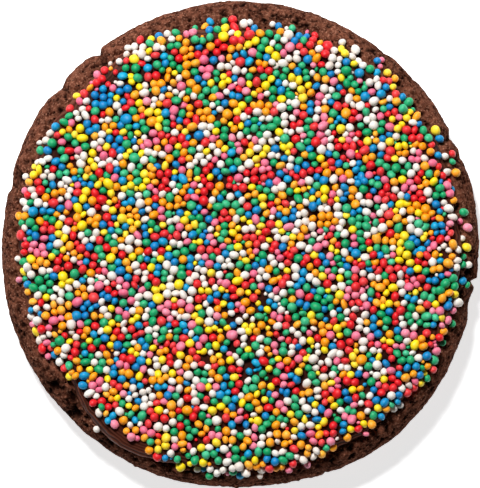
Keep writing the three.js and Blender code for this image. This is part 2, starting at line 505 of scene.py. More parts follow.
def add_node(
    material: Material,
    kind: str,
    settings: dict[str, object] | None = None,
    inputs: Inputs | None = None,
) -> Node:
    """Adds a node to a material, with its settings and its inputs.

    Args:
        material: the material that gets it.
        kind: the node's type, such as ShaderNodeMix.
        settings: values of the node's own properties.
        inputs: for each socket, a value or the output socket that feeds it.

    Returns:
        The new node.
    """
    node = material.node_tree.nodes.new(kind)
    for name, value in (settings or {}).items():
        setattr(node, name, value)
    for name, value in (inputs or {}).items():
        socket = node.inputs[int(name) if name.isdigit() else name]
        if isinstance(value, Socket):
            material.node_tree.links.new(value, socket)
        else:
            socket.default_value = value
    return node


@dataclass(frozen=True)
class Mottle:
    """A cloudy pattern: how wide its patches are in millimetres, how many finer layers lie on
    them, the noise values that become 0 and 1, and how strong each finer layer is."""

    width: float
    detail: float
    low: float
    high: float
    finer: float = 0.6

    def share(self, made: Material) -> Socket:
        """Lays the pattern on Object coordinates.

        Args:
            made: the material that gets it.

        Returns:
            The pattern's value, from 0 to 1.
        """
        noise = add_node(
            made,
            "ShaderNodeTexNoise",
            inputs={
                "Vector": add_node(made, "ShaderNodeTexCoord").outputs["Object"],
                "Scale": 1 / (self.width * MM),
                "Detail": self.detail,
                "Roughness": self.finer,
            },
        )
        spread = add_node(
            made,
            "ShaderNodeMapRange",
            inputs={"Value": noise.outputs["Fac"], "From Min": self.low, "From Max": self.high},
        )
        return spread.outputs["Result"]


@dataclass(frozen=True)
class Pores:
    """Small round pores: how far apart they are, and the widths at which one is at its full
    depth and at its rim, in millimetres."""

    spacing: float
    floor: float
    rim: float

    def depth(self, made: Material) -> Socket:
        """Lays the pores on Object coordinates.

        Args:
            made: the material that gets them.

        Returns:
            Their depth, from 0 to 1.
        """
        cells = add_node(
            made,
            "ShaderNodeTexVoronoi",
            {"feature": "F1"},
            {
                "Vector": add_node(made, "ShaderNodeTexCoord").outputs["Object"],
                "Scale": 1 / (self.spacing * MM),
            },
        )
        bowl = add_node(
            made,
            "ShaderNodeMapRange",
            {"interpolation_type": "SMOOTHSTEP"},
            {
                "Value": cells.outputs["Distance"],
                "From Min": 0.5 * self.rim / self.spacing,
                "From Max": 0.5 * self.floor / self.spacing,
            },
        )
        return bowl.outputs["Result"]


class Finish:
    """What all the cookie's finishes share: a shader over colours that lie in layers."""

    name: str
    roughness: float
    ior: float
    shine: float

    def started(self, prefix: str = "") -> tuple[Material, Inputs]:
        """Makes an empty material and the shader's inputs that need no pattern.

        Args:
            prefix: what goes before the finish's name.

        Returns:
            The material and the inputs.
        """
        made = new_material(prefix + self.name)
        inputs = {"Roughness": self.roughness, "IOR": self.ior, "Specular IOR Level": self.shine}
        return made, inputs

    def layered(self, made: Material, ground: str, layers: Layers) -> Socket:
        """Lays colours over one another.

        Args:
            made: the material that gets them.
            ground: the hex colour beneath.
            layers: for each layer its share, from 0 to 1, and its hex colour.

        Returns:
            The colour on top.
        """
        colour = linear(ground)
        for share, over in layers:
            inputs = {"0": share, "6": colour, "7": linear(over)}
            colour = add_node(made, "ShaderNodeMix", {"data_type": "RGBA"}, inputs).outputs[2]
        return colour


def new_material(name: str) -> Material:
    """Makes a node material without its first nodes.

    Args:
        name: the material's name.

    Returns:
        The empty material.
    """
    made = bpy.data.materials.new(name)
    made.use_nodes = True
    made.node_tree.nodes.clear()
    return made


def finish_material(made: Material, inputs: Inputs) -> Material:
    """Gives a material its shader and joins it to the output.

    Args:
        made: the material.
        inputs: the shader's inputs.

    Returns:
        The same material.
    """
    shader = add_node(made, "ShaderNodeBsdfPrincipled", inputs=inputs)
    add_node(made, "ShaderNodeOutputMaterial", inputs={"Surface": shader.outputs["BSDF"]})
    return made


def raised(
    made: Material,
    pattern: Socket,
    height: float,
    strength: float = 1.0,
    over: Inputs | None = None,
) -> Socket:
    """Stands a surface out by a pattern.

    Args:
        made: the surface's material.
        pattern: from 0 to 1.
        height: in millimetres, of the pattern's 1 over its 0, and below it where negative.
        strength: how much of it shows.
        over: the normal of a pattern beneath, as the input that it is.

    Returns:
        The new normal.
    """
    inputs = {"Height": pattern, "Strength": strength, "Distance": abs(height) * MM}
    bump = add_node(made, "ShaderNodeBump", {"invert": height < 0}, inputs | (over or {}))
    return bump.outputs["Normal"]


@dataclass(frozen=True)
class BakedCrumb(Finish):
    """Cocoa biscuit dough, cut and oven-baked: a dry open crumb that scatters light with no
    shine, paler where flour shows, and with painted shade that makes it nearly black down in
    its pores, pits and crevices."""

    name: str = "baked_cocoa_crumb"
    crust: str = "#724433"
    dark: str = "#2E1108"
    pale: str = "#AA7760"
    # painted shade: the near-black colour laid down in pores, pits and crevices
    pore_shade: str = "#100402"
    roughness: float = 0.95
    ior: float = 1.45
    shine: float = 0.02  # a porous crumb returns hardly any of the glint that its sugar would
    patches: Mottle = Mottle(1.1, 4, 0.36, 0.6)
    # flour grains are finer than this, and are drawn coarser so that they show
    grains: Mottle = Mottle(0.36, 2, 0.54, 0.76)
    roughcast: Mottle = Mottle(0.4, 3, 0.2, 0.8)
    roughcast_height: float = 0.13
    pores: Pores = Pores(1.2, 0.2, 0.5)
    pore_height: float = 0.3

    def material(self) -> Material:
        """Builds the crumb's material.

        Returns:
            The material, which reads the attribute depth: 1 down in a pore.
        """
        made, inputs = self.started()
        depth = add_node(made, "ShaderNodeAttribute", {"attribute_name": "depth"})
        pores = self.pores.depth(made)
        deepest = add_node(
            made,
            "ShaderNodeMath",
            {"operation": "MAXIMUM"},
            {"0": depth.outputs["Fac"], "1": pores},
        )
        layers = (
            (self.patches.share(made), self.crust),
            (self.grains.share(made), self.pale),
            # painted shade: near black in the pattern's pores and wherever the depth attribute is
            # high
            (deepest.outputs["Value"], self.pore_shade),
        )
        rough = raised(made, self.roughcast.share(made), self.roughcast_height)
        inputs["Base Color"] = self.layered(made, self.dark, layers)
        inputs["Normal"] = raised(made, pores, -self.pore_height, over={"Normal": rough})
        return finish_material(made, inputs)


@dataclass(frozen=True)
class SetChocolate(Finish):
    """Dark chocolate icing, poured and set: smooth and close, with a soft shine that is broken
    up by slight flow marks. The paler brown on the flow ridges near its thin edge is painted
    sheen."""

    name: str = "set_chocolate"
    dark: str = "#1E0904"
    brown: str = "#39170F"
    thin: str = "#6E3D2D"  # painted sheen on the flow ridges near the edge, where the film thins out
    roughness: float = 0.45
    ior: float = 1.46
    shine: float = 0.06
    flow: Mottle = Mottle(4.0, 3, 0.35, 0.65)
    ripple: Mottle = Mottle(1.1, 2, 0.2, 0.8)
    ripple_height: float = 0.04
    ripple_strength: float = 0.6

    def material(self) -> Material:
        """Builds the icing's material.

        Returns:
            The material, which reads the attribute of painted sheen: up to 1 on the flow ridges at
            the thin edge.
        """
        made, inputs = self.started()
        film_sheen = add_node(made, "ShaderNodeAttribute", {"attribute_name": "film_sheen"})
        # painted sheen: the paler brown on the flow ridges near the edge
        layers = ((self.flow.share(made), self.brown), (film_sheen.outputs["Fac"], self.thin))
        ripple = self.ripple.share(made)
        inputs["Base Color"] = self.layered(made, self.dark, layers)
        inputs["Normal"] = raised(made, ripple, self.ripple_height, self.ripple_strength)
        return finish_material(made, inputs)


@dataclass(frozen=True)
class SugarShell(Finish):
    """A nonpareil: a sugar grain tumbled in coloured syrup until it is a small hard bead. The
    shell is satin and a little translucent, and its colour is thinner on some beads and in
    some patches."""

    name: str
    full: str
    thin: str
    share: float
    roughness: float = 0.5
    ior: float = 1.5
    shine: float = 0.4
    translucence: float = 0.25
    wander: float = 0.35  # how far light wanders in the sugar
    patches: Mottle = Mottle(0.5, 2, 0.3, 0.7)
    patchiness: float = 0.35  # how much fuller the colour is in a patch
    grains: Mottle = Mottle(0.16, 2, 0.2, 0.8)
    grain_height: float = 0.012
    grain_strength: float = 0.5

    def material(self) -> Material:
        """Builds the shell's material.

        Returns:
            The material, which reads the attribute coat, from 0 thin to 1 full.
        """
        made, inputs = self.started("sugar_shell_")
        coat = add_node(made, "ShaderNodeAttribute", {"attribute_name": "coat"})
        fullness = add_node(
            made,
            "ShaderNodeMath",
            {"operation": "MULTIPLY_ADD", "use_clamp": True},
            {"0": self.patches.share(made), "1": self.patchiness, "2": coat.outputs["Fac"]},
        )
        layers = ((fullness.outputs["Value"], self.full),)
        inputs["Base Color"] = self.layered(made, self.thin, layers)
        inputs["Normal"] = raised(
            made, self.grains.share(made), self.grain_height, self.grain_strength
        )
        inputs["Subsurface Weight"] = self.translucence
        inputs["Subsurface Radius"] = (1.0, 1.0, 1.0)
        inputs["Subsurface Scale"] = self.wander * MM
        return finish_material(made, inputs)


class Sprinkle(Enum):
    """The seven colours of sprinkle, each with its shell and its share of them all."""

    WHITE = SugarShell("white", "#E4DED6", "#DACBC0", 0.205)
    GREEN = SugarShell("green", "#069A5E", "#4CC092", 0.160)
    RED = SugarShell("red", "#DA141F", "#E84A4C", 0.155)
    BLUE = SugarShell("blue", "#027AB8", "#0AA6CC", 0.137)
    ORANGE = SugarShell("orange", "#F59A08", "#FAB23A", 0.147)
    YELLOW = SugarShell("yellow", "#F4D612", "#F2D244", 0.100)
    PINK = SugarShell("pink", "#E46A88", "#EC98AA", 0.096)


WHITE, GREEN, RED, BLUE, ORANGE, YELLOW, PINK = Sprinkle


# ---- the layers


@dataclass
class Layer:
    """What the biscuit and the icing share: a round slab between two heights, made of rings
    from the middle of its underside, round its side, to the middle of its top."""

    bottom: float
    top: float
    edge: Edge
    columns: int
    spacing: float  # between the rows of the side
    side: tuple[tuple[float, float], ...]  # in from the widest line, and share of the height
    under_insets: tuple[float, ...]
    over_insets: tuple[float, ...]

    def reach(self, degrees: Array) -> Array:
        """Radius of the edge at each angle."""
        return self.edge.reach(degrees)

    def rounded_side(self) -> Array:
        """Draws the side from below to above, with its corners cut round.

        Returns:
            Inset and height of each point.
        """
        line = np.array(self.side)
        line[:, 1] = self.bottom + line[:, 1] * (self.top - self.bottom)
        return rounded(line, CORNER_ROUNDS)

    def outline(self) -> Array:
        """Inset and height of each row of the side, at even steps."""
        return stepped(self.rounded_side(), self.spacing)

    def height_at(self, flat: Array) -> Array:
        """Measures the top and the shoulder, without their relief.

        Args:
            flat: places in the plane, shape (n, 2).

        Returns:
            The height at each, or less than nothing outside the edge.
        """
        line = self.outline()
        upper = line[line[:, 1] > 0.5 * (self.bottom + self.top)]
        degrees, radius = polar(flat)
        inset = self.reach(degrees) - radius
        return np.where(inset < 0, -1.0, np.interp(inset, upper[:, 0], upper[:, 1]))

    def rings(self) -> tuple[Array, Array, Array]:
        """Lays the rings about the round centre, each with the edge's radius less its inset.

        Returns:
            The points, shape (rows, columns, 3), and the inset and the angle of each.
        """
        degrees = np.arange(self.columns) * 360 / self.columns
        under = [(inset, self.bottom) for inset in self.under_insets]
        over = [(inset, self.top) for inset in self.over_insets]
        rows = np.concatenate([under, self.outline(), over])
        inset = np.broadcast_to(rows[:, :1], (len(rows), self.columns))
        height = np.broadcast_to(rows[:, 1:], inset.shape)
        radius = self.reach(degrees) - inset
        across = ROUND_CENTRE[0] + radius * np.cos(np.radians(degrees))
        along = ROUND_CENTRE[1] + radius * np.sin(np.radians(degrees))
        points = np.stack([across, along, height], axis=2)
        return points, inset, np.broadcast_to(degrees, inset.shape)

    def closed(self, name: str, grid: Array, attribute: str, values: Array) -> Piece:
        """Closes the rings with a pole in the middle at either end.

        Args:
            name: the piece's name.
            grid: the rings' points, shape (rows, columns, 3).
            attribute: the name under which the values are kept.
            values: one for each point of the rings.

        Returns:
            The new piece.
        """
        low, high = (np.array([[*ROUND_CENTRE, height]]) for height in (self.bottom, self.top))
        points = np.concatenate([low, grid.reshape(-1, 3), high])
        piece = store_mesh(name, points, polar_faces(*grid.shape[:2]))
        store_attribute(piece, attribute, np.concatenate([[0], values, [0]]))
        return piece


@dataclass
class Biscuit(Layer):
    """The baked biscuit: flat below and above, with a rounded, cracked and crumbly side."""

    bottom: float = 0.0
    top: float = 9.0
    edge: Edge = BISCUIT_EDGE
    columns: int = 1330
    spacing: float = 0.17  # between the rows that show from above
    coarse: float = 0.36  # between the rows below them
    side: tuple[tuple[float, float], ...] = (
        (3.4, 0.0), (2.3, 0.0), (0.9, 0.06), (0.2, 0.22), (0.0, 0.44),
        (0.2, 0.66), (0.85, 0.85), (1.7, 0.96), (2.6, 1.0), (4.6, 1.0),
    )
    under_insets: tuple[float, ...] = (34.0, 22.0, 12.0, 6.5)
    over_insets: tuple[float, ...] = (6.5, 12.0, 22.0, 34.0)
    drifts: tuple[Noise, ...] = rows_of(Noise, (1.0, 2, 201), (1.0, 2, 211), (1.0, 2, 221))
    drift: float = 0.3  # how far they draw the pores out of round
    lumps: Noise = Noise(2.8, 3, 11)
    crumb: Noise = Noise(0.75, 2, 31)
    large_pores: Bowls = Bowls(1.8, (0.3, 0.8), 51)
    small_pores: Bowls = Bowls(0.95, (0.14, 0.4), 71)
    crevices: Noise = Noise(2.6, 1, 241)
    crevice_width: float = 0.06  # of the noise's swing
    crevice_patches: Noise = Noise(6.0, 1, 251)
    patch_rise: float = 2.0  # how soon the crevices are full inside the edge of a patch
    walls: Noise = Noise(0.7, 2, 91)
    wall_roughness: float = 0.5
    gash_factor: float = 1.25  # on the depths of the gashes
    fissure_reach: float = 2.9
    fissure_wander: float = 0.25
    fissure_width: float = 0.24
    fissure_share: float = 0.7  # of its crack's depth
    pits_above: float = 0.6  # share of the height above which the rim is pitted
    # What the sum starts from, and then the shares of lumps, crumb, large and small pores,
    # crevices and pits: in millimetres of height, and in how deep in a pore a point lies,
    # which the crumb's material paints as shade, near black down in the hollows.
    heights: tuple[float, ...] = (0.08, 0.17, 0.09, -0.45, -0.25, -0.35, -1.0)
    shade_depths: tuple[float, ...] = (0.10, -0.20, 0.0, 0.95, 0.75, 0.70, 0.90)
    covered_inset: float = 3.6  # the icing covers all further in
    covered_relief: float = 0.15  # share of the relief that is left there
    under_relief: float = 0.35  # share of it on the underside
    finish: BakedCrumb = field(default_factory=BakedCrumb)

    def reach(self, degrees: Array) -> Array:
        """Radius of the edge at each angle, drawn in by the cracks."""
        return self.edge.reach(degrees) - crack_depth(degrees)

    def outline(self) -> Array:
        """Steps up the side, coarsely as far as the widest line.

        Returns:
            Inset and height of each row.
        """
        line = self.rounded_side()
        widest = int(np.argmin(line[:, 0]))
        lower = stepped(line[: widest + 1], self.coarse)
        return np.concatenate([lower[:-1], stepped(line[widest:], self.spacing)])

    def broken(self, points: Array, degrees: Array, inset: Array, drift: Array) -> Array:
        """How deep the rim's top is broken. The named pits and gashes are bells with rough
        walls. Each crack runs on inwards as a fissure, a narrow bell across it that fades with
        the inset.

        Args:
            points: places, shape (n, 3).
            degrees: the angle of each.
            inset: how far each is in from the edge.
            drift: a noise that bends the fissures.

        Returns:
            The depth of the deepest at each point.
        """
        ragged = 1 + self.wall_roughness * self.walls.at(points)
        pit = np.zeros(len(points))
        for place in PITS:
            along = np.radians(between(degrees, place.at)) * self.edge.radius
            away = np.hypot(along, inset - place.inset) / place.width
            pit = np.maximum(pit, place.depth * np.exp(-((away * ragged) ** 2)))
        for crack in CRACKS:
            along = np.radians(between(degrees, crack.at)) * self.edge.radius
            along = (along + self.fissure_wander * drift) / self.fissure_width
            fade = np.clip(1 - inset / self.fissure_reach, 0, 1)
            pit = np.maximum(pit, self.fissure_share * crack.depth * fade * np.exp(-(along**2)))
        for gash in GASHES:
            start, end = from_pixels(np.array([gash.start, gash.end]))
            run = end - start
            share = np.clip((points[:, :2] - start) @ run / np.sum(run**2), 0, 1)
            away = points[:, :2] - start - share[:, None] * run
            away = np.hypot(away[:, 0], away[:, 1]) / gash.width
            depth = self.gash_factor * gash.depth
            pit = np.maximum(pit, depth * np.exp(-((away * ragged) ** 2)))
        return np.where(points[:, 2] > self.pits_above * self.top, pit, 0)

    def relief(self, points: Array, degrees: Array, inset: Array) -> tuple[Array, Array]:
        """How far the baked surface stands out, and how deep in a pore each point lies, which the
        material paints as shade: two weighted sums of its forms. Lumps and crumb are layered
        noise. Pores are bowls of two sizes, drawn out of round by moving each point by a noise
        first. Crevices run where a broad noise passes through zero.

        Args:
            points: places, shape (n, 3).
            degrees: the angle of each.
            inset: how far each is in from the edge.

        Returns:
            The height, negative where it goes in, and the depth as a share.
        """
        drifts = np.stack([noise.at(points) for noise in self.drifts], axis=1)
        drawn = points + self.drift * drifts
        crevice = np.exp(-((self.crevices.at(drawn) / self.crevice_width) ** 2))
        crevice *= np.clip(self.patch_rise * self.crevice_patches.at(points), 0, 1)
        forms = (
            np.ones(len(points)),
            self.lumps.at(points),
            self.crumb.at(points),
            self.large_pores.at(drawn),
            self.small_pores.at(drawn),
            crevice,
            self.broken(points, degrees, inset, drifts[:, 0]),
        )
        height = sum(share * form for share, form in zip(self.heights, forms))
        depth = sum(share * form for share, form in zip(self.shade_depths, forms))
        return height, np.clip(depth, 0, 1)

    def build(self) -> Piece:
        """Moves the rings out by the relief, most of it on the bare rim.

        Returns:
            The biscuit's piece.
        """
        grid, inset, degrees = self.rings()
        lift, depth = self.relief(grid.reshape(-1, 3), degrees.ravel(), inset.ravel())
        covered = (grid[..., 2] == self.top) & (inset > self.covered_inset)
        strength = np.where(covered, self.covered_relief, 1.0)
        strength = strength * np.where(grid[..., 2] == self.bottom, self.under_relief, 1.0)
        grid = grid + ring_normals(grid) * (lift.reshape(inset.shape) * strength)[..., None]
        grid[..., 2] = np.maximum(grid[..., 2], self.bottom)
        # the depth attribute carries the painted shade of the pores, pits and crevices
        return self.closed("biscuit_crumb", grid, "depth", depth)

    def dress(self, piece: Piece) -> None:
        """Gives the biscuit its material and its place in the frame.

        Args:
            piece: the biscuit's piece.
        """
        piece.data.materials.append(self.finish.material())
        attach(piece, BODY)
        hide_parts("biscuit")


@dataclass
class Icing(Layer):
    """The layer of set icing: nearly flat on top, with a soft thick edge."""

    bottom: float = 8.35
    top: float = 11.2
    edge: Edge = ICING_EDGE
    margin: float = 1.5  # least width of bare rim outside it
    columns: int = 720
    spacing: float = 0.12
    ragged: float = 0.3  # how far its edge wanders
    ridge_spacing: float = 0.62  # between the flow ridges along its edge
    ridge_height: float = 0.07
    ridge_reach: float = 3.6  # how far in from the edge they run
    side: tuple[tuple[float, float], ...] = (
        (0.9, 0.0), (0.05, 0.2), (0.08, 0.43), (0.4, 0.69), (1.0, 0.89), (1.9, 1.0), (4.1, 1.0),
    )
    under_insets: tuple[float, ...] = (38.0,)
    over_insets: tuple[float, ...] = (4.2, 6.0, 8.0, 11.0, 15.0, 20.0, 26.0, 32.0, 38.0)
    wander: Noise = Noise(3.2, 3, 141)
    bending: Noise = Noise(3.0, 2, 151)
    bend: float = 0.5  # how far it bends the ridges
    swelling: Noise = Noise(4.5, 2, 131)
    swell: float = 0.1
    foot: float = 0.1  # height above the bottom that stays flat
    film_sheen_fade: float = 1.5  # power by which the painted sheen on the thin film's ridges ends inwards
    finish: SetChocolate = field(default_factory=SetChocolate)

    def reach(self, degrees: Array) -> Array:
        """Draws the icing's ragged edge, held back from the biscuit's shoulder.

        Args:
            degrees: the angles.

        Returns:
            The radius at each.
        """
        held = BISCUIT_EDGE.reach(degrees) - self.margin
        wander = self.ragged * self.wander.at(loop_points(degrees))
        return np.minimum(self.edge.reach(degrees) + wander, held)

    def build(self) -> Piece:
        """Moves the rings out by a broad soft noise and, near the edge, by ridges: a sine of
        the inset, bent by a noise. A paler brown on the ridges near the thin edge is painted sheen.

        Returns:
            The icing's piece.
        """
        grid, inset, _ = self.rings()
        flat = grid.reshape(-1, 3)
        sweep = inset.ravel() + self.bend * self.bending.at(flat)
        near = np.clip(1 - inset.ravel() / self.ridge_reach, 0, 1)
        ridges = np.sin(sweep * 2 * math.pi / self.ridge_spacing)
        lift = self.swell * self.swelling.at(flat) + self.ridge_height * (ridges * near)
        lift = np.where(flat[:, 2] > self.bottom + self.foot, lift, 0).reshape(inset.shape)
        grid = grid + ring_normals(grid) * lift[..., None]
        # painted sheen: strongest on the ridges at the edge, fading inwards
        film_sheen = near**self.film_sheen_fade * (0.5 + 0.5 * ridges)
        return self.closed("chocolate_icing", grid, "film_sheen", film_sheen)

    def dress(self, piece: Piece) -> None:
        """Gives the icing its material and its place in the frame.

        Args:
            piece: the icing's piece.
        """
        piece.data.materials.append(self.finish.material())
        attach(piece, BODY)
        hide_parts("icing")


# ---- the sprinkles


@dataclass(frozen=True)
class Stray:
    """A sprinkle at the field's edge that stands apart: its colour, its pixel in the photograph
    and its size in millimetres."""

    kind: Sprinkle
    across: float
    down: float
    size: float


EDGE_SPRINKLES = rows_of(
    Stray,
    # along the top
    (WHITE, 272.5, 25.0, 1.15), (BLUE, 278.6, 27.0, 1.4), (WHITE, 286.6, 29.0, 0.8),
    (GREEN, 292.1, 28.8, 1.45), (PINK, 306.9, 33.0, 0.95), (BLUE, 306.4, 37.0, 1.25),
    (RED, 314.6, 35.7, 1.3), (WHITE, 342.0, 42.9, 1.4), (YELLOW, 341.1, 49.9, 1.4),
    (WHITE, 354.8, 50.2, 1.75), (WHITE, 351.2, 57.0, 1.5), (BLUE, 377.0, 61.2, 1.4),
    (PINK, 381.5, 60.4, 1.1), (PINK, 379.9, 66.9, 1.05), (YELLOW, 387.0, 73.0, 1.55),
    (ORANGE, 394.6, 79.0, 1.4),
    # down the right
    (YELLOW, 435.0, 130.3, 1.75), (BLUE, 440.0, 139.3, 1.5), (WHITE, 444.3, 156.7, 1.4),
    (RED, 451.9, 154.0, 1.35), (GREEN, 452.2, 162.1, 1.2), (WHITE, 446.2, 172.6, 1.6),
    (ORANGE, 455.5, 172.8, 1.6), (BLUE, 451.1, 189.5, 1.25), (GREEN, 463.4, 212.4, 1.6),
    (PINK, 459.6, 221.4, 1.05), (PINK, 466.8, 227.9, 1.7), (WHITE, 461.7, 238.6, 1.15),
    (YELLOW, 466.3, 247.2, 1.75), (WHITE, 457.4, 249.7, 1.4), (GREEN, 462.6, 257.0, 1.3),
    (GREEN, 461.8, 264.8, 1.4), (WHITE, 467.8, 264.8, 1.35), (BLUE, 462.6, 280.4, 1.5),
    (GREEN, 466.8, 284.8, 1.1),
    # along the bottom
    (PINK, 365.5, 433.3, 1.1), (WHITE, 260.1, 475.8, 1.1), (RED, 157.8, 456.8, 1.7),
    (WHITE, 97.0, 428.8, 1.3),
    # up the left
    (BLUE, 83.6, 384.9, 1.6), (BLUE, 84.4, 375.4, 1.8), (YELLOW, 70.0, 376.3, 1.5),
    (PINK, 48.4, 356.0, 1.25), (RED, 42.7, 348.8, 1.85), (WHITE, 38.2, 320.7, 1.8),
    (ORANGE, 33.4, 301.3, 1.45), (ORANGE, 28.5, 291.9, 1.35), (PINK, 20.0, 279.9, 1.2),
    (GREEN, 25.6, 278.9, 1.15), (WHITE, 18.4, 258.6, 1.2), (GREEN, 23.9, 260.9, 1.4),
    (ORANGE, 19.6, 216.6, 1.5), (PINK, 25.3, 190.9, 1.25), (WHITE, 26.2, 176.8, 1.2),
    (YELLOW, 34.0, 176.1, 1.65), (WHITE, 40.3, 143.2, 1.15), (GREEN, 41.0, 150.6, 1.55),
)


@dataclass
class Beads:
    """All the sprinkles: place, radius and kind of each."""

    places: Array
    radii: Array
    kinds: Array


@dataclass
class SprinkleField:
    """The sprinkles on the icing: poured on, settled under their own weight, and stuck."""

    ground: Callable[[Array], Array]
    count: int = 2480  # in the layer that lies on the icing
    extra: int = 250  # caught on top of it
    seed: int = 7
    mean_size: float = 1.46
    spread: float = 0.19
    smallest: float = 1.05
    largest: float = 2.05
    dust_share: float = 0.06  # sprinkles that are much smaller than the rest
    dust_sizes: tuple[float, float] = (0.6, 0.95)
    sunk: float = 0.42  # share of its radius that a sprinkle sits down in the icing
    sunk_spread: float = 0.2
    crust: float = 9.0  # height of the bare biscuit, which lets a sprinkle in less
    crust_give: float = 0.3
    ceiling: float = 13.0
    jitter: float = 0.45
    fringe_noise: Noise = Noise(2.6, 2, 171)
    fringe: float = 0.45  # how far the field's edge wanders
    first_rise: float = 0.1  # height from which the lower ones fall, at most
    extra_rise: float = 1.4  # height from which the others fall
    sunk_limits: tuple[float, float] = (0.1, 0.9)
    touch_reach: float = 2.1  # in the plane, within which two may touch
    steps: int = 260
    regroup: int = 10  # steps between searches for neighbours
    neighbour_reach: float = 2.3  # in the plane, within which two may come to overlap
    hardness: float = 0.985  # share of their radii at which two of them meet
    fall: float = 0.02  # in each step
    drawn_back: float = 0.5  # share of the way back that one past the edge goes in a step
    touch: float = 1.03  # share of their radii within which two count as touching
    clumped: float = 0.08  # share of touching pairs that took one colour, stuck in the tin
    twinned: float = 0.05  # share of them that stuck together in two colours
    stuck: float = 0.13  # how far such a pair is drawn into one another
    strays: tuple[Stray, ...] = EDGE_SPRINKLES

    def sizes(self, random: np.random.Generator, count: int) -> Array:
        """Draws diameters: a bell about the mean size, and a few that are mere dust.

        Args:
            random: the source of the draws.
            count: how many.

        Returns:
            The diameters.
        """
        usual = random.normal(self.mean_size, self.spread, count)
        usual = np.clip(usual, self.smallest, self.largest)
        dust = random.uniform(*self.dust_sizes, count)
        return np.where(random.random(count) < self.dust_share, dust, usual)

    def poured(self, random: np.random.Generator) -> Array:
        """Where the sprinkles start in the plane: the lower ones spread evenly on a sunflower
        spiral, whose turns are golden angles, and the others anywhere.

        Args:
            random: the source of the draws.

        Returns:
            Places, shape (sprinkles, 2).
        """
        number = np.arange(self.count)
        spiral = number * GOLDEN_ANGLE
        degrees = np.concatenate([spiral, random.uniform(0, 360, self.extra)])
        share = np.concatenate([(number + 0.5) / self.count, random.random(self.extra)])
        reach = self.limit(degrees) * np.sqrt(share)
        turn = np.radians(degrees)
        flat = np.stack([reach * np.cos(turn), reach * np.sin(turn)], axis=1)
        return ROUND_CENTRE + flat + random.normal(0, self.jitter, flat.shape)

    def limit(self, degrees: Array) -> Array:
        """Radius that sprinkle centres keep within: the field's edge with a ragged fringe."""
        return FIELD_EDGE.reach(degrees) + self.fringe * self.fringe_noise.at(loop_points(degrees))

    def touching(self, places: Array, reach: float) -> tuple[Array, Array]:
        """Finds the sprinkles that are near one another in the plane.

        Args:
            places: their middles.
            reach: how near, along either axis.

        Returns:
            The numbers of the first and the second of each pair.
        """
        near = np.ones((len(places), len(places)), bool)
        for axis in range(2):
            line = places[:, axis].astype(np.float32)
            near &= np.abs(line[:, None] - line[None, :]) < reach
        return np.nonzero(np.triu(near, 1))

    def settle(self) -> Beads:
        """Pours the sprinkles on and lets them settle round the strays, which stay put.

        In each step all sink a little, each pair that overlaps is pushed apart along the line
        between its middles by half the overlap, and none goes below what it lies on, above
        the ceiling or past the field's edge.

        Returns:
            The settled sprinkles, with the strays at the end.
        """
        random = np.random.default_rng(self.seed)
        poured = self.count + self.extra
        strays = self.place_strays()
        radii = np.concatenate([0.5 * self.sizes(random, poured), strays.radii])
        flat = self.poured(random)
        lower = np.arange(poured) < self.count
        rise = np.where(lower, self.first_rise * random.random(poured), self.extra_rise)
        start = np.column_stack([flat, self.ground(flat) + radii[:poured] + rise])
        places = np.concatenate([start, strays.places])
        shares = np.array([kind.value.share for kind in Sprinkle])
        kinds = np.concatenate([random.choice(len(Sprinkle), poured, p=shares), strays.kinds])
        sunk = np.clip(random.normal(self.sunk, self.sunk_spread, poured), *self.sunk_limits)
        first, second = np.array([0]), np.array([0])
        for step in range(self.steps):
            if step % self.regroup == 0:
                first, second = self.touching(places, self.neighbour_reach)
            gap = places[second] - places[first]
            distance = np.maximum(np.linalg.norm(gap, axis=1), TINY)
            reach = self.hardness * (radii[first] + radii[second])
            push = gap * (0.5 * np.clip(reach - distance, 0, None) / distance)[:, None]
            for axis in range(3):
                moved = np.bincount(second, push[:, axis], len(places))
                moved -= np.bincount(first, push[:, axis], len(places))
                places[:poured, axis] += moved[:poured]
            places[:poured, 2] -= self.fall
            places[:poured] = self.confined(places[:poured], radii[:poured], sunk)
        beads = Beads(places, radii, kinds)
        self.clump(beads, poured, random)
        return beads

    def confined(self, places: Array, radii: Array, sunk: Array) -> Array:
        """Draws sprinkles back inside the field's edge and between the ground and the ceiling.

        Args:
            places: the sprinkles' middles.
            radii: their radii.
            sunk: how deep each may sit in the icing, as a share of its radius.

        Returns:
            The new middles.
        """
        degrees, radius = polar(places[:, :2])
        past = self.limit(degrees) / np.maximum(radius, 1) - 1
        share = np.minimum(1, 1 + self.drawn_back * past)
        flat = ROUND_CENTRE + (places[:, :2] - ROUND_CENTRE) * share[:, None]
        height = np.minimum(places[:, 2], self.ceiling - radii)
        height = np.maximum(height, self.rest_height(flat, radii, sunk))
        return np.column_stack([flat, height])

    def rest_height(self, flat: Array, radii: Array, sunk: Array | float) -> Array:
        """How high a sprinkle rests: its radius above what it lies on, less the share it is
        sunk, all of it in deep icing and little of it in the bare crust.

        Args:
            flat: places in the plane, shape (n, 2).
            radii: the sprinkles' radii.
            sunk: how deep each sits in deep icing, as a share of its radius.

        Returns:
            The height of each one's middle.
        """
        under = self.ground(flat)
        give = np.clip(under - self.crust, self.crust_give, 1)
        return under + radii * (1 - sunk * give)

